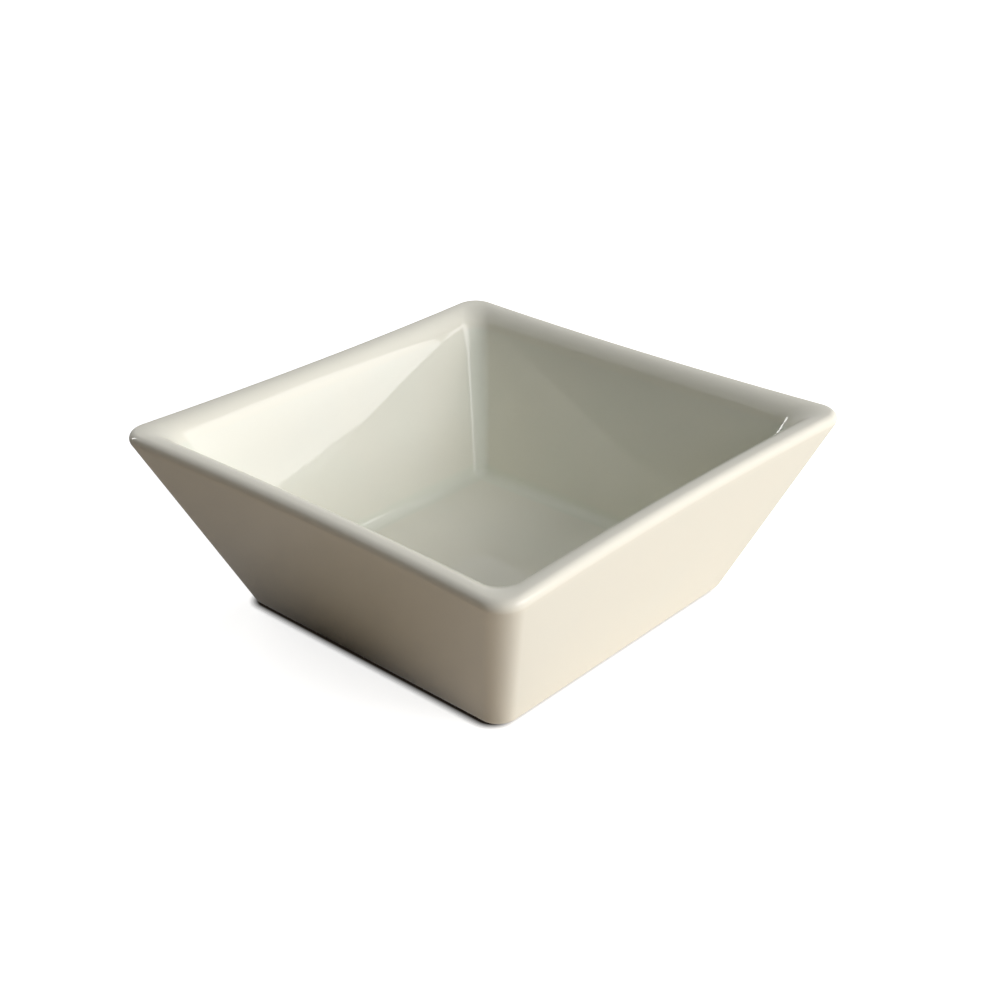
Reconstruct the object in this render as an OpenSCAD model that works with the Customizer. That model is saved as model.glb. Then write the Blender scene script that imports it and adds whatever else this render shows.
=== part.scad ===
// Square ceramic serving dish with leaning walls, a rounded rim and a low foot ring.
// Its sides draw in a little between the corners, as long clay walls do in the kiln.
// The fired body carries two films of fused glaze: one over the walls, rim and well,
// and one on the recessed base panel inside the foot ring. Millimetres, +Z up,
// origin on the table under the middle of the dish.

/* [Outside] */
// Overall width across the rim
rim_w = 80; // [66:0.5:140]
// Width across the base, where the outer wall line would meet the table
base_w = 55; // [46:0.1:64]
// Overall height from the table to the top of the rim
dish_h = 31; // [20:0.5:60]
// Corner radius of the widest outline, seen from above
rim_corner_r = 4; // [2.5:0.1:12]
// Corner radius of the outer wall just above the bottom edge
base_corner_r = 3.4; // [2:0.1:8]
// Radius of the outer bottom edge
heel_r = 1; // [0.6:0.1:1.6]
// How far the middle of each outer side draws in at the rim
side_bow = 1.05; // [0:0.05:2]

/* [Wall and rim] */
// Wall thickness square to the wall beside a corner, both glaze films included
wall_t = 4.5; // [3:0.1:7]
// Radius of the rim's outer edge
rim_outer_r = 1.2; // [0.8:0.1:1.8]
// Radius of the rim's inner edge
rim_inner_r = 4; // [0.8:0.1:5]

/* [Well] */
// Floor thickness from the glazed underside to the glazed inside
floor_t = 4.1; // [2.5:0.1:6]
// Fillet between the well's floor and its walls
floor_fillet_r = 2.2; // [1:0.1:4]
// Corner radius between two walls of the well, at the rim
well_corner_r = 3.6; // [2:0.1:8]
// Corner radius between two walls of the well, at the floor's fillet
well_base_corner_r = 2.4; // [1.5:0.1:6]
// How far the middle of each side of the well draws in at the rim
well_bow = 0.4; // [0:0.05:2]

/* [Foot] */
// Height of the glazed underside above the table
foot_h = 0.5; // [0.3:0.1:2]
// Distance from the base line in to the foot ring
foot_inset = 2.2; // [1.8:0.1:5]
// Width of the foot ring's standing face
foot_ring_w = 4.5; // [2:0.1:8]
// Corner radius of the foot ring, outside
foot_corner_r = 2.5; // [1.5:0.1:6]
// Corner radius of the base panel inside the foot ring
recess_corner_r = 2.5; // [1.5:0.1:6]

/* [Glaze] */
// Thickness of the fused glaze film
glaze_t = 0.3; // [0.15:0.05:0.5]
// Bare strip left on each side of the foot ring where the glaze is wiped off
wipe_w = 0.5; // [0.2:0.1:1]

/* [Hidden] */
$fn = 48;
// Facets in a plan corner
corner_steps = 6;
// Facets along a drawn-in side
side_steps = 4;
// Facets in a rim, heel or fillet arc
arc_steps = 5;
// Facets where the wall turns upright at the widest outline
turn_steps = 2;
// Smallest corner radius that a fillet may leave on the floor
least_r = 0.3;
// Depth to which the foot ring is rooted in the body
foot_root = 1;
fired_body = "#e6dccb";
white_glaze = "#ece6d8";

rim_half = rim_w / 2;
base_half = base_w / 2;
foot_half = base_half - foot_inset;
panel_half = foot_half - foot_ring_w;
glaze_edge_half = foot_half + wipe_w;
floor_z = foot_h + floor_t;

// The outer wall line starts at the base line and touches the rim's outer arc.
rim_outer_c = [rim_half - rim_outer_r, dish_h - rim_outer_r];
line_to_c = rim_outer_c - [base_half, 0];
lean = 90 - atan2(line_to_c.y, line_to_c.x) + asin(rim_outer_r / norm(line_to_c));

// Half-width at height z of the line that lies a distance inside the outer wall, square to it
function wall_at(z, inside) = base_half + (z * sin(lean) - inside) / cos(lean);

// The inner edge is as round as asked, or as the wall allows beside the outer edge
inner_room = (rim_outer_c.x - base_half) * cos(lean) - dish_h * sin(lean) + wall_t;
inner_edge_r = min(rim_inner_r, inner_room / (1 - sin(lean)));
rim_inner_z = dish_h - inner_edge_r;
rim_inner_c = [wall_at(rim_inner_z, wall_t - inner_edge_r), rim_inner_z];
heel_z = foot_h + heel_r;
heel_c = [wall_at(heel_z, heel_r), heel_z];
fillet_z = floor_z + floor_fillet_r;
fillet_c = [wall_at(fillet_z, wall_t + floor_fillet_r), fillet_z];

// Half-widths at which the plan corner radius is given
heel_top_w = heel_c.x + heel_r * cos(lean);
well_top_w = rim_inner_c.x - inner_edge_r * cos(lean);
well_foot_w = fillet_c.x + floor_fillet_r * cos(lean);

function arc(c, r, from, to, steps) =
    [for (i = [0:steps]) let (a = from + (to - from) * i / steps) c + r * [cos(a), sin(a)]];

// Section of the dish as [half-width, height], a depth d under the glazed surface,
// in runs from the glaze edge beside the foot up, over the rim and down to the well's floor
function lip_run(d) = [[glaze_edge_half, foot_h + d]];
function heel_run(d) = arc(heel_c, heel_r - d, -90, -lean, arc_steps);
function outer_run(d) = concat(
    arc(rim_outer_c, rim_outer_r - d, -lean, 0, turn_steps),
    arc(rim_outer_c, rim_outer_r - d, 90 / arc_steps, 90, arc_steps - 1));
function inner_run(d) = arc(rim_inner_c, inner_edge_r - d, 90, 180 - lean, arc_steps);
function fillet_run(d) = arc(fillet_c, floor_fillet_r + d, -lean, -90, arc_steps);
function section(d) =
    concat(lip_run(d), heel_run(d), outer_run(d), inner_run(d), fillet_run(d));

// Plan corner radius for each point of the glazed section
rim_top_r = rim_corner_r - rim_outer_r;
function rim_blend(w) = (rim_outer_c.x - w) / (rim_outer_c.x - well_top_w);
glazed_corners = concat(
    [for (p = lip_run(0)) foot_corner_r + wipe_w],
    [for (p = heel_run(0)) base_corner_r + p.x - heel_top_w],
    [for (p = outer_run(0)) rim_corner_r + p.x - rim_half],
    [for (p = inner_run(0)) rim_top_r + (well_corner_r - rim_top_r) * rim_blend(p.x)],
    [for (p = fillet_run(0)) max(least_r, well_base_corner_r + p.x - well_foot_w)]);

// How far the sides draw in at each point of the glazed section, more the higher it lies
function outer_bow(p) = side_bow * p.x / rim_half * p.y / dish_h;
function inner_bow(p) = well_bow * p.x / well_top_w * p.y / dish_h;
glazed_bows = concat(
    [for (p = concat(lip_run(0), heel_run(0), outer_run(0))) outer_bow(p)],
    [for (p = inner_run(0)) outer_bow(p) + (inner_bow(p) - outer_bow(p)) * rim_blend(p.x)],
    [for (p = fillet_run(0)) inner_bow(p)]);

// Rounded square outline of half-width w and corner radius r at height z. Each side is a parabola
// drawn in by the bow, and each corner arc turns far enough to meet it smoothly.
function outline(w, r, bow, z) =
    let (
        turn = atan(2 * bow / (w - r)),
        reach = w - r - r * sin(turn),
        edge = w - r + r * cos(turn),
        sag = reach * tan(turn) / 2,
        corner = [for (i = [0:corner_steps])
            let (a = -turn + (90 + 2 * turn) * i / corner_steps)
            [w - r + r * cos(a), w - r + r * sin(a)]],
        side = [for (j = [1:side_steps - 1])
            let (t = 1 - 2 * j / side_steps)
            [reach * t, edge - sag * (1 - t * t)]])
    [for (k = [0:3], p = concat(corner, side))
        [p.x * cos(90 * k) - p.y * sin(90 * k), p.x * sin(90 * k) + p.y * cos(90 * k), z]];
outline_n = 4 * (corner_steps + side_steps);

// All outlines of the surface that lies a depth d under the glazed one
function skin_points(d) =
    let (top = section(0), here = section(d))
    [for (i = [0:len(here) - 1])
        let (r = glazed_corners[i] + here[i].x - top[i].x)
        each outline(here[i].x, r, glazed_bows[i], here[i].y)];
rings = len(section(0));
skin_n = rings * outline_n;

// Triangles of such a surface, facing out of the dish's material, from a first point number
function skin_faces(first) = [for (i = [0:rings - 2], j = [0:outline_n - 1])
    let (a = first + i * outline_n, b = a + outline_n, k = (j + 1) % outline_n)
    each [[a + j, b + j, b + k], [a + j, b + k, a + k]]];
function loop(first) = [for (j = [0:outline_n - 1]) first + j];
function reversed(list) = [for (i = [len(list) - 1:-1:0]) list[i]];
function inside_out(faces) = [for (f = faces) reversed(f)];

floor_loop = skin_n - outline_n;

module rounded_square(half, r) {
    square([2 * half, 2 * (half - r)], center = true);
    square([2 * (half - r), 2 * half], center = true);
    for (x = [-1, 1], y = [-1, 1])
        translate([x, y] * (half - r)) circle(r);
}

// Ring that the dish stands on, rooted in the body above it
module foot_ring() {
    linear_extrude(foot_h + glaze_t + foot_root)
        difference() {
            rounded_square(foot_half, foot_corner_r);
            rounded_square(panel_half, recess_corner_r);
        }
}

// Fired clay body: floor, walls, rim and foot ring in one piece
module ceramic_body() {
    color(fired_body)
        union() {
            polyhedron(
                points = skin_points(glaze_t),
                faces = concat(
                    skin_faces(0),
                    [loop(0)],
                    [reversed(loop(floor_loop))]));
            foot_ring();
        }
}

// Glass film over the outside walls, the rim and the whole well
module glaze_coat() {
    color(white_glaze)
        polyhedron(
            points = concat(skin_points(0), skin_points(glaze_t)),
            faces = concat(
                skin_faces(0),
                [reversed(loop(floor_loop))],
                inside_out(skin_faces(skin_n)),
                [loop(skin_n + floor_loop)],
                [for (j = [0:outline_n - 1])
                    let (k = (j + 1) % outline_n)
                    each [[j, k, skin_n + k], [j, skin_n + k, skin_n + j]]]));
}

// Glass film on the base panel, inside the wiped foot ring
module base_glaze() {
    color(white_glaze)
        translate([0, 0, foot_h])
            linear_extrude(glaze_t)
                rounded_square(panel_half - wipe_w, recess_corner_r);
}

ceramic_body();
glaze_coat();
base_glaze();
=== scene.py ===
# %% [markdown]
# # A small square dish in white glaze
# The dish is one piece of fired clay under a film of glass. Its parts are packed already as
# fixed solids at their real size, and this lesson dresses them: smooth skins in place of the
# faceted ones, a glaze and a bare clay finish, and a small studio with a window at one side.

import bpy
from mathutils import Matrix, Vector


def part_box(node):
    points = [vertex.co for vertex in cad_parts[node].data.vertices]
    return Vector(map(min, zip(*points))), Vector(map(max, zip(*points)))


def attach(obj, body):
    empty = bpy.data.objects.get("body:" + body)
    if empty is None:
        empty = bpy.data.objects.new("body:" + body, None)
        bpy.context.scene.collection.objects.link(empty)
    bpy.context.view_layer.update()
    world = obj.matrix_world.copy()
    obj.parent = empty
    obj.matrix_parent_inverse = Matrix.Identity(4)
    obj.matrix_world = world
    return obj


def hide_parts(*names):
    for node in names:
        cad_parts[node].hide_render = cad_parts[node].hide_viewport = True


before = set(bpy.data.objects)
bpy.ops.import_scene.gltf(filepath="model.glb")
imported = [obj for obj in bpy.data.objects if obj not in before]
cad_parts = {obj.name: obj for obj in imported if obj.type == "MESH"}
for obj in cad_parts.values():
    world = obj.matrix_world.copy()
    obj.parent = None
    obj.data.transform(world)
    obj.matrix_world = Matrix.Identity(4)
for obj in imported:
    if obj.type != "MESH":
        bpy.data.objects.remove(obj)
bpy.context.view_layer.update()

# %% Blender's own modules
import math
from collections import namedtuple

import bmesh
import bpy
from mathutils import Matrix, Vector

MM = 0.001
QUARTER = math.pi / 2
scene = bpy.context.scene
print("Blender", bpy.app.version_string)

# %% [markdown]
# ## Sizes
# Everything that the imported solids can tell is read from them, so the skins land on the solids
# with no fitting: the rim's reach, the film's thickness, the foot ring's edges. What a box
# can't tell, such as the roundness of an edge, is written here once in millimetres.

# %% Sizes read from the frame
glaze_low, glaze_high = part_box("glaze_coat")
rim_half = glaze_high.x
rim_z = glaze_high.z
underside_z = glaze_low.z
film = rim_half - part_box("ceramic_body")[1].x
panel_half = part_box("base_glaze")[1].x

TOUCH = 0.01 * MM
standing = [v.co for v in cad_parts["ceramic_body"].data.vertices if v.co.z < TOUCH]
foot_half = max(co.x for co in standing)
print("film", round(film / MM, 3), "mm; foot ring", round(foot_half / MM, 2), "mm out")

# %% Sizes of the walls and edges
base_half = 27.5 * MM
wall = 4.5 * MM
floor_thickness = 4.1 * MM
floor_z = underside_z + floor_thickness
rim_outer_r = 1.2 * MM
rim_inner_r = 4.0 * MM
heel_r = 1.0 * MM
fillet_r = 2.2 * MM
rim_corner_r = 4.0 * MM
base_corner_r = 3.4 * MM
well_corner_r = 3.6 * MM
well_base_corner_r = 2.4 * MM
foot_corner_r = 2.5 * MM
foot_edge_r = 0.3 * MM
wipe = 0.5 * MM
foot_hole_half = panel_half + wipe
least_corner_r = 0.3 * MM
middle_half = 2 * MM
side_bow = 1.05 * MM
well_bow = 0.4 * MM
print("well floor", round(floor_z / MM, 2), "mm above the table; foot ring",
      round((foot_half - foot_hole_half) / MM, 2), "mm wide")

# %% [markdown]
# ## The section of the dish
# Cut through the middle of a wall, the dish is a chain of straight runs and arcs: the heel at
# the bottom, the leaning wall, the rim rolled over its two edges, the well's wall and the fillet
# down to its floor. The outer wall is the line from the base that just touches the rim's arc,
# and the well's wall runs beside it, one wall thickness in.

# %% The wall line and the centres of the arcs
rim_outer_c = Vector((rim_half - rim_outer_r, rim_z - rim_outer_r))
to_centre = rim_outer_c - Vector((base_half, 0))
lean = QUARTER - math.atan2(to_centre.y, to_centre.x) + math.asin(rim_outer_r / to_centre.length)


def beside_wall(z, inside):
    """The point at height z on the line that lies this far inside the outer wall."""
    return Vector((base_half + (z * math.sin(lean) - inside) / math.cos(lean), z))


rim_inner_c = beside_wall(rim_z - rim_inner_r, wall - rim_inner_r)
heel_c = beside_wall(underside_z + heel_r, heel_r)
fillet_c = beside_wall(floor_z + fillet_r, wall + fillet_r)
print("wall leans", round(math.degrees(lean), 1), "degrees")

# %% [markdown]
# Each stop along the section becomes one rounded square outline of the dish. A stop holds a
# half-width, a height, the corner radius seen from above, how far the middle of each side draws
# in, the way the surface faces, and how deep the glaze lies there. A long clay wall draws in
# between its corners in the kiln, most of all at the rim. Glaze runs thin over an edge and pools
# in a hollow, so its depth is below zero on the rim and above zero in the fillet.

# %% Stops along arcs and straight runs
Stop = namedtuple("Stop", "half height corner bow out up depth")
ARC_STEPS = 12
ALONG = (0.04, 0.15, 0.32, 0.5, 0.68, 0.85, 0.96)


def outer_bow(half, height):
    return side_bow * half / rim_half * height / rim_z


def arc_stops(centre, radius, start, end, corner, depth, side=1, bow=outer_bow):
    """Stops on an arc. Side is 1 where the surface bulges and -1 where it is hollow."""
    stops = []
    for i in range(ARC_STEPS + 1):
        a = start + (end - start) * i / ARC_STEPS
        half = centre.x + radius * math.cos(a)
        height = centre.y + radius * math.sin(a)
        facing = (side * math.cos(a), side * math.sin(a))
        stops.append(Stop(half, height, corner(half), bow(half, height), *facing, depth))
    return stops


def straight(a, b, depth=0.0):
    """Stops between two others, closer together near the ends."""
    run = [Stop(*(p + (q - p) * t for p, q in zip(a, b))) for t in ALONG]
    return [stop._replace(depth=depth) for stop in run]


def sunk(stop, by):
    """The same stop this far under the surface."""
    return stop._replace(half=stop.half - by * stop.out, height=stop.height - by * stop.up,
                         corner=stop.corner - by * stop.out)


print(ARC_STEPS + 1, "stops on an arc,", len(ALONG), "on a straight run")

# %% The glazed surface, from the heel over the rim to the middle of the floor
heel_top_half = heel_c.x + heel_r * math.cos(lean)
well_top_half = rim_inner_c.x - rim_inner_r * math.cos(lean)
well_foot_half = fillet_c.x + fillet_r * math.cos(lean)
rim_top_corner_r = rim_corner_r - rim_outer_r
HEEL_DEPTH, RIM_DEPTH, RIM_INSIDE_DEPTH = -0.6, -1.0, -0.5
WELL_DEPTH, FILLET_DEPTH = 0.4, 1.0


def over_rim(half, outer, inner):
    """Blends a size from the rim's outer edge to the top of the well."""
    return outer + (inner - outer) * (rim_outer_c.x - half) / (rim_outer_c.x - well_top_half)


def inner_bow(half, height):
    return well_bow * half / well_top_half * height / rim_z


heel = arc_stops(heel_c, heel_r, -QUARTER, -lean,
                 lambda half: base_corner_r + half - heel_top_half, HEEL_DEPTH)
rim_side = arc_stops(rim_outer_c, rim_outer_r, -lean, QUARTER,
                     lambda half: rim_corner_r + half - rim_half, RIM_DEPTH)
rim_inside = arc_stops(rim_inner_c, rim_inner_r, QUARTER, 2 * QUARTER - lean,
                       lambda half: over_rim(half, rim_top_corner_r, well_corner_r), RIM_INSIDE_DEPTH,
                       bow=lambda half, z: over_rim(half, outer_bow(half, z), inner_bow(half, z)))
fillet = arc_stops(fillet_c, fillet_r, -lean, -QUARTER,
                   lambda half: max(least_corner_r, well_base_corner_r + half - well_foot_half),
                   FILLET_DEPTH, side=-1, bow=inner_bow)
floor_middle = Stop(middle_half, floor_z, least_corner_r, 0, 0, 1, WELL_DEPTH)
glazed = (heel + straight(heel[-1], rim_side[0]) + rim_side + rim_inside
          + straight(rim_inside[-1], fillet[0], WELL_DEPTH) + fillet
          + straight(fillet[-1], floor_middle, WELL_DEPTH) + [floor_middle])
print(len(glazed), "stops over the glazed surface")

# %% [markdown]
# ## Lofting a square form
# A rounded square that changes its corner radius can't be spun, and a bevel gives one radius
# along a whole edge. So a flat square gets its corners bevelled once, and its outline is
# extruded from stop to stop. At each stop the four corner arcs are scaled about their own
# centres and moved to their new place, which leaves the straight sides straight. Every point
# also notes three sizes of its outline, which the next step needs.

# %% The loft
CORNER_STEPS = 12
CORNERS = [(x, y) for x in (-1, 1) for y in (-1, 1)]
CORNER_POOL = 0.7
NOTED = ("half", "corner", "bow")


def corner_centre(stop, x, y):
    reach = stop.half - stop.corner
    return Vector((x * reach, y * reach, stop.height))


def settle(bm, verts, here, there):
    """Moves the four corner arcs of an outline from one stop to the next."""
    layers = bm.verts.layers.float
    depth = layers["glaze_depth"]
    grow = there.corner / here.corner
    for x, y in CORNERS:
        arc = [v for v in verts if v.co.x * x > 0 and v.co.y * y > 0]
        bmesh.ops.translate(bm, verts=arc, vec=-corner_centre(here, x, y))
        bmesh.ops.scale(bm, verts=arc, vec=(grow, grow, 1))
        for v in arc:
            turned = 2 * abs(v.co.x * v.co.y) / there.corner ** 2
            v[depth] = there.depth - CORNER_POOL * there.out * turned
            for name in NOTED:
                v[layers[name]] = getattr(there, name)
        bmesh.ops.translate(bm, verts=arc, vec=corner_centre(there, x, y))


def loft(stops):
    """A closed bmesh through rounded square outlines, one for each stop."""
    bm = bmesh.new()
    for name in NOTED + ("glaze_depth",):
        bm.verts.layers.float.new(name)
    here = stops[0]
    lift = Matrix.Translation((0, 0, here.height))
    bmesh.ops.create_grid(bm, x_segments=1, y_segments=1, size=here.half, matrix=lift)
    bmesh.ops.bevel(bm, geom=bm.verts[:], affect="VERTICES", offset=here.corner,
                    segments=CORNER_STEPS, profile=0.5, material=-1)
    settle(bm, bm.verts[:], here, here)
    outline = bm.edges[:]
    for there in stops[1:]:
        made = bmesh.ops.extrude_edge_only(bm, edges=outline)["geom"]
        verts = {g for g in made if isinstance(g, bmesh.types.BMVert)}
        outline = [g for g in made if isinstance(g, bmesh.types.BMEdge) and verts.issuperset(g.verts)]
        settle(bm, verts, here, there)
        here = there
    bmesh.ops.contextual_create(bm, geom=outline)
    return bm


print(CORNER_STEPS, "steps in each plan corner")

# %% [markdown]
# The outside draws in by about a millimetre at the rim and the well by less, which narrows the
# rim between its corners. The long sides get extra cuts for this and become parabolas. Each
# corner arc opens out a little at both ends, so that it still meets its two sides smoothly.

# %% Drawn-in sides and the finished mesh
SIDE_CUTS = 11


def crosses_middle(edge):
    a, b = (v.co for v in edge.verts)
    return a.x * b.x < 0 or a.y * b.y < 0


def draw_in(co, half, corner, bow):
    """The place of an outline's point once its sides are drawn in."""
    x, y = abs(co.x), abs(co.y)
    reach = half - corner
    turn = math.atan(2 * bow / reach)
    side_reach = reach - corner * math.sin(turn)
    if min(x, y) < reach:
        t = min(x, y) / reach
        along = side_reach * t
        level = reach + corner * math.cos(turn) - side_reach * math.tan(turn) / 2 * (1 - t * t)
        x, y = (level, along) if x > y else (along, level)
    else:
        a = math.atan2(y - reach, x - reach)
        a += turn * (2 * a / QUARTER - 1)
        x = reach + corner * math.cos(a)
        y = reach + corner * math.sin(a)
    return Vector((math.copysign(x, co.x), math.copysign(y, co.y), co.z))


def finish_mesh(bm, name):
    """Draws the sides in, and makes the object."""
    bmesh.ops.subdivide_edges(bm, edges=[e for e in bm.edges if crosses_middle(e)], cuts=SIDE_CUTS)
    layers = bm.verts.layers.float
    for v in bm.verts:
        v.co = draw_in(v.co, *(v[layers[noted]] for noted in NOTED))
    for noted in NOTED:
        layers.remove(layers[noted])
    bmesh.ops.recalc_face_normals(bm, faces=bm.faces[:])
    for face in bm.faces:
        face.smooth = True
    mesh = bpy.data.meshes.new(name)
    bm.to_mesh(mesh)
    bm.free()
    piece = bpy.data.objects.new(name, mesh)
    scene.collection.objects.link(piece)
    print(name, len(mesh.vertices), "points,", len(mesh.polygons), "faces")
    return piece


# %% [markdown]
# ## The three pieces
# The glaze is a closed film: its outer face is the dish that one sees, and its inner face lies on
# the clay. Where it stops beside the foot ring it ends in a small round bead, as melted
# glass does. The clay body carries the foot ring, and the base panel inside the ring has a film
# of its own.

# %% The film over walls, rim and well
EDGE_DEPTH = -1.0
bead_c = Vector((foot_half + wipe + film, underside_z + film))
bead = arc_stops(bead_c, film, 2 * QUARTER, 3 * QUARTER, lambda half: foot_corner_r + wipe, EDGE_DEPTH)
clay_side = [sunk(stop, film) for stop in glazed]
glaze_skin = finish_mesh(loft(clay_side[::-1] + bead + glazed), "glaze_skin")

# %% The clay body and its foot ring
ceiling_z = underside_z + film
foot_in_c = Vector((foot_hole_half + foot_edge_r, foot_edge_r))
foot_out_c = Vector((foot_half - foot_edge_r, foot_edge_r))


def foot_corner(half):
    return foot_corner_r


ceiling_middle = Stop(middle_half, ceiling_z, least_corner_r, 0, 0, -1, 0.0)
foot_top_in = Stop(foot_hole_half, ceiling_z, foot_corner_r, 0, -1, 0, 0.0)
foot_inside = arc_stops(foot_in_c, foot_edge_r, 2 * QUARTER, 3 * QUARTER, foot_corner, 0.0)
foot_outside = arc_stops(foot_out_c, foot_edge_r, -QUARTER, 0, foot_corner, 0.0)
foot_top_out = Stop(foot_half, ceiling_z, foot_corner_r, 0, 1, 0, 0.0)
underside = ([ceiling_middle] + straight(ceiling_middle, foot_top_in) + [foot_top_in] + foot_inside
             + straight(foot_inside[-1], foot_outside[0]) + foot_outside + [foot_top_out])
fired_body = finish_mesh(loft(underside + clay_side), "fired_body")

# %% The film on the base panel
panel_c = Vector((panel_half - film, underside_z + film))
panel_edge = arc_stops(panel_c, film, 0, -QUARTER, foot_corner, EDGE_DEPTH)
panel_top = Stop(middle_half, ceiling_z, least_corner_r, 0, 0, 1, 0.0)
panel_bottom = Stop(middle_half, underside_z, least_corner_r, 0, 0, -1, 0.0)
base_panel = finish_mesh(loft([panel_top] + panel_edge + straight(panel_edge[-1], panel_bottom)
                              + [panel_bottom]), "base_panel")

# %% Each piece rides on the body and stands for its solid
for piece, node, slot in ((glaze_skin, "glaze_coat", "white_glaze"),
                          (fired_body, "ceramic_body", "fired_body"),
                          (base_panel, "base_glaze", "white_glaze")):
    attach(piece, "root")
    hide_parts(node)
    print(piece.name, "stands for", node)

# %% [markdown]
# ## Finishes
# A finish is a small tree of nodes. Two helpers keep the trees short: one turns a colour that is
# written as on a paint card into the linear light that a shader works in, and one adds a node,
# sets it and links it.

# %% Helpers for the finishes
def linear(hex_colour):
    """sRGB hex to the linear colour that a shader works in."""
    parts = [int(hex_colour[i:i + 2], 16) / 255 for i in (1, 3, 5)]
    return tuple(c / 12.92 if c <= 0.04045 else ((c + 0.055) / 1.055) ** 2.4 for c in parts) + (1.0,)


def add(tree, kind, inputs=(), ramp=(), **settings):
    """Adds a node, sets its fields and colour ramp, and fills or links its inputs."""
    node = tree.nodes.new(kind)
    for name, value in settings.items():
        setattr(node, name, value)
    for i, (place, colour) in enumerate(ramp):
        stop = node.color_ramp.elements[i] if i < 2 else node.color_ramp.elements.new(place)
        stop.position = place
        stop.color = linear(colour)
    for socket, value in dict(inputs).items():
        if isinstance(value, bpy.types.NodeSocket):
            tree.links.new(value, node.inputs[socket])
        else:
            node.inputs[socket].default_value = value
    return node


def new_material(name):
    material = bpy.data.materials.new(name)
    material.use_nodes = True
    material.node_tree.nodes.clear()
    return material, material.node_tree


print("white is", [round(c, 3) for c in linear("#ffffff")])

# %% [markdown]
# ### White glaze, dipped and fired glossy
# The dish is dipped in a slip of ground glass and fired until the glass runs smooth. Where the
# film is thin, over the rim and the outer corners, a little of the clay's warmth comes through.
# Where it pools, in the fillet and the inner corners, it looks cooler. The colour here follows
# the depth that the loft noted, with slow clouds in it, because no dipped film is even.
#
# The surface is glass: a clear coat over the white. It is smooth to the touch but not flat. Long
# shallow waves and a fine orange peel bend the edges of what it mirrors, which is what tells the
# eye that the white is a melted film and not paint.

# %% The glaze
def white_glaze():
    material, tree = new_material("white_glaze_dipped_and_fired_glossy")
    place = add(tree, "ShaderNodeTexCoord").outputs["Object"]
    depth = add(tree, "ShaderNodeAttribute", attribute_name="glaze_depth").outputs["Fac"]
    # Clouds about 14 mm wide, in which the film is a little thicker or thinner
    clouds = add(tree, "ShaderNodeTexNoise", {"Vector": place, "Scale": 1 / (14 * MM), "Detail": 2.0})
    drift = add(tree, "ShaderNodeMapRange", {"Value": clouds.outputs["Fac"], "From Min": 0.3,
                                             "From Max": 0.7, "To Min": -0.2, "To Max": 0.2})
    uneven = add(tree, "ShaderNodeMath", {0: depth, 1: drift.outputs["Result"]}, operation="ADD")
    level = add(tree, "ShaderNodeMapRange", {"Value": uneven.outputs["Value"], "From Min": -1.0,
                                             "From Max": 1.0})
    tone = add(tree, "ShaderNodeValToRGB", {"Fac": level.outputs["Result"]}, ramp=(
        (0.0, "#eeebdd"), (0.5, "#edebdd"), (0.7, "#ecebde"), (1.0, "#e9ebde")))
    # Patches about 3 mm wide that melted a little less smoothly
    melt = add(tree, "ShaderNodeTexNoise", {"Vector": place, "Scale": 1 / (3 * MM), "Detail": 1.0})
    gloss = add(tree, "ShaderNodeMapRange", {"Value": melt.outputs["Fac"], "From Min": 0.3,
                                             "From Max": 0.7, "To Min": 0.012, "To Max": 0.03})
    # Waves about 12 mm long and 0.008 mm deep, and an orange peel of about 1 mm, twenty times shallower
    waves = add(tree, "ShaderNodeTexNoise", {"Vector": place, "Scale": 1 / (12 * MM), "Detail": 0.0})
    wavy = add(tree, "ShaderNodeBump", {"Height": waves.outputs["Fac"], "Distance": 0.02 * MM})
    peel = add(tree, "ShaderNodeTexNoise", {"Vector": place, "Scale": 1 / (1 * MM), "Detail": 0.0})
    face = add(tree, "ShaderNodeBump", {"Height": peel.outputs["Fac"], "Distance": 0.001 * MM,
                                        "Normal": wavy.outputs["Normal"]})
    shader = add(tree, "ShaderNodeBsdfPrincipled", {
        "Base Color": tone.outputs["Color"], "Roughness": 0.5, "Specular IOR Level": 0.0,
        "Normal": face.outputs["Normal"], "Coat Weight": 0.5, "Coat IOR": 1.6,
        "Coat Roughness": gloss.outputs["Result"], "Coat Normal": face.outputs["Normal"]})
    add(tree, "ShaderNodeOutputMaterial", {"Surface": shader.outputs["BSDF"]})
    return material


glaze = white_glaze()
glaze_skin.data.materials.append(glaze)
base_panel.data.materials.append(glaze)
print(glaze.name, len(glaze.node_tree.nodes), "nodes")

# %% [markdown]
# ### Bare clay, wiped and fired
# The foot ring is wiped clean before the firing, because glass would weld the dish to the kiln's
# shelf. What is left is the bare body: dry, fine grained, warmer and darker than the glaze, with a few
# specks of iron. The face that it stands on is scuffed grey by tables and racks.

# %% The clay
# Where a Mix node keeps its two colours, and its blended one
MIX_A, MIX_B, MIX_OUT = 6, 7, 2


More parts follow.
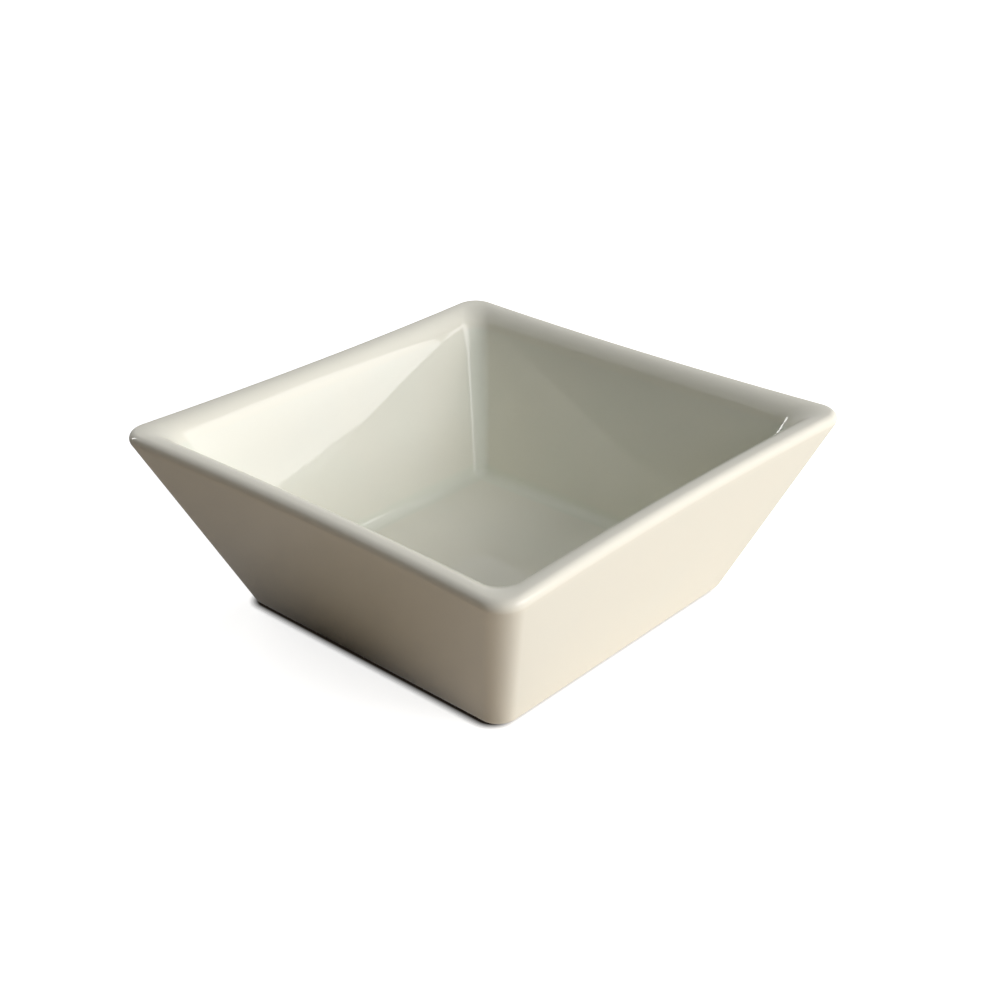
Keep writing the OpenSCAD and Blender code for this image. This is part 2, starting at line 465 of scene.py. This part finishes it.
def bare_clay():
    material, tree = new_material("white_clay_wiped_and_fired_bare")
    place = add(tree, "ShaderNodeTexCoord").outputs["Object"]
    # Grains of about 0.1 mm on the real clay, drawn at 0.35 mm so that they show
    grain = add(tree, "ShaderNodeTexNoise", {"Vector": place, "Scale": 1 / (0.35 * MM), "Detail": 3.0})
    body = add(tree, "ShaderNodeValToRGB", {"Fac": grain.outputs["Fac"]}, ramp=(
        (0.3, "#cbb99f"), (0.7, "#ddd0bb")))
    # Specks of iron, about 0.2 mm wide and 2 mm apart
    cells = add(tree, "ShaderNodeTexVoronoi", {"Vector": place, "Scale": 1 / (2 * MM)})
    speck = add(tree, "ShaderNodeMapRange", {"Value": cells.outputs["Distance"], "From Min": 0.04,
                                             "From Max": 0.09, "To Min": 0.6, "To Max": 0.0})
    speckled = add(tree, "ShaderNodeMix", {0: speck.outputs["Result"], MIX_A: body.outputs["Color"],
                                           MIX_B: linear("#8a6d50")}, data_type="RGBA")
    # Scuffs on the lowest tenth of a millimetre, in patches about 4 mm wide
    height = add(tree, "ShaderNodeSeparateXYZ", {"Vector": place}).outputs["Z"]
    low = add(tree, "ShaderNodeMapRange", {"Value": height, "From Min": 0.02 * MM,
                                           "From Max": 0.12 * MM, "To Min": 0.7, "To Max": 0.0})
    rubbed = add(tree, "ShaderNodeTexNoise", {"Vector": place, "Scale": 1 / (4 * MM), "Detail": 4.0})
    worn = add(tree, "ShaderNodeMath", {0: low.outputs["Result"], 1: rubbed.outputs["Fac"]},
               operation="MULTIPLY")
    scuffed = add(tree, "ShaderNodeMix", {0: worn.outputs["Value"], MIX_A: speckled.outputs[MIX_OUT],
                                          MIX_B: linear("#8f8880")}, data_type="RGBA")
    dry = add(tree, "ShaderNodeMapRange", {"Value": grain.outputs["Fac"], "To Min": 0.78,
                                           "To Max": 0.95})
    rough = add(tree, "ShaderNodeBump", {"Height": grain.outputs["Fac"], "Distance": 0.03 * MM})
    shader = add(tree, "ShaderNodeBsdfPrincipled", {
        "Base Color": scuffed.outputs[MIX_OUT], "Roughness": dry.outputs["Result"], "IOR": 1.5,
        "Normal": rough.outputs["Normal"]})
    add(tree, "ShaderNodeOutputMaterial", {"Surface": shader.outputs["BSDF"]})
    return material


clay = bare_clay()
fired_body.data.materials.append(clay)
print(clay.name, len(clay.node_tree.nodes), "nodes")

# %% [markdown]
# ## Camera
# The dish is seen from a corner, a little above its rim, from about a quarter of a metre away. So
# near, the front corner is drawn clearly larger than the back one, and only a camera at the
# true distance gives that. Its place is written as angles and a distance from the middle
# of the dish, with two small shifts for the framing.

# %% The camera
azimuth = math.radians(42.61)
elevation = math.radians(27.348)
roll = math.radians(-0.689)
distance = 244.72 * MM
across = -2.033 * MM
above = -1.342 * MM
focal_share = 1.53493

right = Vector((math.cos(azimuth), math.sin(azimuth), 0))
back = Vector((math.sin(azimuth) * math.cos(elevation), -math.cos(azimuth) * math.cos(elevation),
               math.sin(elevation)))
up = back.cross(right)
right, up = (math.cos(roll) * right + math.sin(roll) * up, math.cos(roll) * up - math.sin(roll) * right)
centre = Vector((0, 0, rim_z / 2))
camera_data = bpy.data.cameras.new("camera")
camera_data.sensor_fit = "HORIZONTAL"
camera_data.lens = focal_share * camera_data.sensor_width
camera_data.clip_start = 10 * MM
camera = bpy.data.objects.new("camera", camera_data)
camera.matrix_world = Matrix((right, up, back)).transposed().to_4x4()
camera.location = centre + distance * back - across * right - above * up
scene.collection.objects.link(camera)
scene.camera = camera
print("camera at", [round(c / MM) for c in camera.location], "mm")

# %% [markdown]
# ## Floor and backdrop
# The dish stands on a plain pale floor in front of white. The camera sees both as white, and the
# floor keeps the dish's shadow, with a painted shadow along the gap under its edge as a dark line.
# A reflection shows the floor as pale grey, with a painted shade where the leaning walls stand over it.
#
# Light that scatters off the floor is another matter. The wall on the shaded side leans out over
# the table and takes nearly all of its tone from it, so for scattered light the floor is a warm
# table top with the same painted shade, and painted a little dimmer on the side away from the
# window. A Light Path node tells these three apart.

# %% Tones around a rectangle on the floor
def beside(tree, place, middle, half, corner, near, far):
    """0 to 1 from near to far outside a rounded rectangle of these half-widths on the floor."""
    inner = half - Vector((corner, corner, 0))
    moved = add(tree, "ShaderNodeVectorMath", {0: place, 1: middle}, operation="SUBTRACT")
    aside = add(tree, "ShaderNodeVectorMath", {0: moved.outputs[0]}, operation="ABSOLUTE")
    past = add(tree, "ShaderNodeVectorMath", {0: aside.outputs[0], 1: inner}, operation="SUBTRACT")
    outwards = add(tree, "ShaderNodeVectorMath", {0: past.outputs[0]}, operation="MAXIMUM")
    away = add(tree, "ShaderNodeVectorMath", {0: outwards.outputs[0]}, operation="LENGTH")
    share = add(tree, "ShaderNodeMapRange", {"Value": away.outputs["Value"],
                                             "From Min": corner + near, "From Max": corner + far})
    return share.outputs["Result"]


def in_mirror(tree, path):
    """1 for what a glossy or clear surface shows."""
    rays = {0: path["Is Glossy Ray"], 1: path["Is Transmission Ray"]}
    return add(tree, "ShaderNodeMath", rays, operation="MAXIMUM").outputs[0]


print("the base reaches", round(base_half / MM, 1), "mm out")

# %% The pale floor
FLOOR_WIDE = 6.0
# Where the floor's painted shadow along the gap, its painted shade and its painted dimming lie
GAP_SHADOW_MIDDLE = Vector((-0.6, -0.6, 0)) * MM
GAP_SHADOW_HALF = Vector((base_half, base_half, 0))
GAP_SHADOW_NEAR, GAP_SHADOW_FAR = -0.7 * MM, 0.8 * MM
SHADE_MIDDLE = Vector((-7, -10, 0)) * MM
SHADE_HALF = Vector((15, 27.5, 0)) * MM
SHADE_CORNER = 13 * MM
SHADE_NEAR, SHADE_FAR = -11 * MM, 14 * MM
PAINTED_DIM_SIDE, PAINTED_DIM_SHARE = -60 * MM, 0.75
GLOW, FAR_GLOW = 0.88, 1.12
GLOW_REACH, FAR_GLOW_REACH = 0.3, 1.0


def pale_floor():
    material, tree = new_material("pale_floor")
    path = add(tree, "ShaderNodeLightPath").outputs
    place = add(tree, "ShaderNodeTexCoord").outputs["Object"]
    # A painted shadow darkens the gap under the dish, and the floor is clear of it about a millimetre
    # outside the base
    clear = beside(tree, place, GAP_SHADOW_MIDDLE, GAP_SHADOW_HALF, base_corner_r, GAP_SHADOW_NEAR, GAP_SHADOW_FAR)
    tone = add(tree, "ShaderNodeValToRGB", {"Fac": clear}, ramp=((0.0, "#1c1712"), (1.0, "#f4f4f4")))
    paper = add(tree, "ShaderNodeBsdfDiffuse", {"Color": tone.outputs["Color"]})
    # Far off, the floor glows as white as the backdrop, so that no line shows where it ends
    out = add(tree, "ShaderNodeVectorMath", {0: place}, operation="LENGTH")
    strength = add(tree, "ShaderNodeMapRange", {
        "Value": out.outputs["Value"], "From Min": GLOW_REACH, "From Max": FAR_GLOW_REACH,
        "To Min": GLOW, "To Max": FAR_GLOW})
    glow = add(tree, "ShaderNodeEmission", {"Color": tone.outputs["Color"],
                                            "Strength": strength.outputs["Result"]})
    white = add(tree, "ShaderNodeAddShader", {0: paper.outputs[0], 1: glow.outputs[0]})
    # A painted shade lies under the leaning wall on the left, and fades out over 25 mm
    outside_painted_shade = beside(tree, place, SHADE_MIDDLE, SHADE_HALF, SHADE_CORNER, SHADE_NEAR, SHADE_FAR)
    # Painted shade: the floor is painted dimmer on the side away from the window
    side = add(tree, "ShaderNodeSeparateXYZ", {"Vector": place}).outputs["X"]
    painted_dim = add(tree, "ShaderNodeMapRange", {"Value": side, "From Min": PAINTED_DIM_SIDE, "From Max": 0.0,
                                           "To Min": PAINTED_DIM_SHARE})
    painted_light_share = add(tree, "ShaderNodeMath", {0: outside_painted_shade, 1: painted_dim.outputs["Result"]},
              operation="MULTIPLY").outputs[0]
    # Painted shade in the floor that the gloss mirrors, dark beside the base
    mirrored_painted_shade = add(tree, "ShaderNodeValToRGB", {"Fac": painted_light_share}, ramp=((0.0, "#1c1712"), (1.0, "#d0d0d2")))
    mirrored = add(tree, "ShaderNodeEmission", {"Color": mirrored_painted_shade.outputs["Color"]})
    # The warm table top for scattered light, with painted shade beside the base
    table_tone_with_painted_shade = add(tree, "ShaderNodeValToRGB", {"Fac": painted_light_share}, ramp=((0.0, "#0a0806"), (1.0, "#cfbea9")))
    table = add(tree, "ShaderNodeBsdfDiffuse", {"Color": table_tone_with_painted_shade.outputs["Color"]})
    unseen = add(tree, "ShaderNodeMixShader", {0: in_mirror(tree, path), 1: table.outputs[0],
                                               2: mirrored.outputs[0]})
    surface = add(tree, "ShaderNodeMixShader", {0: path["Is Camera Ray"], 1: unseen.outputs[0],
                                                2: white.outputs[0]})
    add(tree, "ShaderNodeOutputMaterial", {"Surface": surface.outputs[0]})
    return material


def stage_sheet(name, material, matrix):
    """A flat sheet of the studio, from a square two metres wide."""
    bm = bmesh.new()
    bmesh.ops.create_grid(bm, x_segments=1, y_segments=1, size=1.0, matrix=matrix)
    mesh = bpy.data.meshes.new(name)
    bm.to_mesh(mesh)
    bm.free()
    mesh.materials.append(material)
    sheet = bpy.data.objects.new(name, mesh)
    scene.collection.objects.link(sheet)
    print(name, [round(c, 2) for c in sheet.dimensions], "m")
    return sheet


stage_sheet("floor", pale_floor(), Matrix.Scale(FLOOR_WIDE / 2, 4))

# %% The white backdrop
ROOM_LIGHT, BACKDROP_LIGHT = 0.02, 1.0
world = bpy.data.worlds.new("studio")
world.use_nodes = True
scene.world = world
tree = world.node_tree
tree.nodes.clear()
path = add(tree, "ShaderNodeLightPath").outputs
seen = add(tree, "ShaderNodeMath", {0: path["Is Camera Ray"], 1: in_mirror(tree, path)},
           operation="MAXIMUM")
room = add(tree, "ShaderNodeBackground", {"Color": linear("#ffffff"), "Strength": ROOM_LIGHT})
white = add(tree, "ShaderNodeBackground", {"Color": linear("#ffffff"), "Strength": BACKDROP_LIGHT})
surface = add(tree, "ShaderNodeMixShader", {0: seen.outputs[0], 1: room.outputs[0],
                                            2: white.outputs[0]})
add(tree, "ShaderNodeOutputWorld", {"Surface": surface.outputs[0]})
print("backdrop", world.name, len(tree.nodes), "nodes")

# %% [markdown]
# ## A dark card
# Glossy white in a white room looks flat, so a photographer stands a dark card where the gloss
# needs an edge. This one is opposite the right wall of the well. That wall then mirrors the card on one
# side and the bright left wall on the other, with a soft slanting edge between them. Only reflections
# see the card: it throws no shadow and takes no light away.

# %% The dark card
CARD_AZIMUTH = math.radians(-125)
CARD_AWAY, CARD_WIDE, CARD_HIGH = 0.9, 0.74, 0.45


def dark_card():
    material, tree = new_material("dark_card")
    board = add(tree, "ShaderNodeBsdfDiffuse", {"Color": linear("#5c544c")})
    add(tree, "ShaderNodeOutputMaterial", {"Surface": board.outputs[0]})
    return material


standing_up = Matrix.Rotation(QUARTER, 4, "Y") @ Matrix.Diagonal((CARD_HIGH / 2, CARD_WIDE / 2, 1, 1))
put_away = Matrix.Rotation(CARD_AZIMUTH, 4, "Z") @ Matrix.Translation((CARD_AWAY, 0, CARD_HIGH / 2))
card = stage_sheet("dark_card", dark_card(), put_away @ standing_up)
card.visible_camera = False
card.visible_diffuse = False
card.visible_shadow = False

# %% [markdown]
# ## Light
# A window on the right makes the bright patch on the left wall of the well: the patch is its mirror
# image, so the window is an upright pane at a true distance, with a sill and a top edge. The rest
# is soft light that no gloss shows. A lit table sends light up under the outer right wall, a fill
# from the front reaches the back corner of the well, and one from behind lifts the tops of the rim.
# The ceiling's light comes from the back, so that the rim's near edge turns dark where it rolls over.
#
# Each lamp is an even rectangle, and its strength is given as radiance, where 1 is white paper in
# full light. A lamp keeps that brightness however large it is made.

# %% A soft lamp
def soft_light(name, azimuth, elevation, reach, width, height, radiance, colour="#ffffff",
               upright=False):
    """A rectangle of light that faces the dish, placed by degrees and metres from its middle."""
    data = bpy.data.lights.new(name, "AREA")
    data.shape = "RECTANGLE"
    data.size = width
    data.size_y = height
    data.energy = radiance * math.pi * width * height
    data.color = linear(colour)[:3]
    lamp = bpy.data.objects.new(name, data)
    a, e = math.radians(azimuth), math.radians(elevation)
    towards = Vector((math.cos(a) * math.cos(e), math.sin(a) * math.cos(e), math.sin(e)))
    lamp.location = centre + reach * towards
    if upright:
        towards.z = 0
    lamp.rotation_euler = towards.to_track_quat("Z", "Y").to_euler()
    lamp.visible_camera = False
    scene.collection.objects.link(lamp)
    print(name, [round(c, 2) for c in lamp.location], "m")
    return lamp


# %% The window and a glint
window_away, window_sill, window_top = 3.0, 0.58, 2.11
window_rise = (window_sill + window_top) / 2
soft_light("side_window", azimuth=24.5, elevation=math.degrees(math.atan(window_rise / window_away)),
           reach=math.hypot(window_away, window_rise), width=2.235, height=window_top - window_sill,
           radiance=4.65, colour="#fffcfd", upright=True)
# A slim far window, which only the gloss shows: the lines in the back corner and at the right corner
glint = soft_light("glint", azimuth=-158, elevation=23, reach=2.0, width=0.28, height=0.8,
                   radiance=16.0)
glint.visible_diffuse = False

# %% Soft light that no gloss shows
table_light = soft_light("table_light", azimuth=40, elevation=3.6, reach=0.48, width=0.6, height=0.09,
                         radiance=8.0, colour="#fdfdff")
front_fill = soft_light("front_fill", azimuth=-3, elevation=27, reach=3.0, width=1.5, height=1.6,
                        radiance=3.15, colour="#f8fbff")
back_light = soft_light("back_light", azimuth=172, elevation=25, reach=3.0, width=2.0, height=1.0,
                        radiance=3.6)
ceiling = soft_light("ceiling", azimuth=75, elevation=69, reach=2.2, width=3.4, height=2.6,
                     radiance=0.62)
for lamp in (table_light, front_fill, back_light, ceiling):
    lamp.visible_glossy = False

# %% [markdown]
# ## Looks
# The plain Standard view shows a colour about as it is written.

scene.view_settings.view_transform = "Standard"
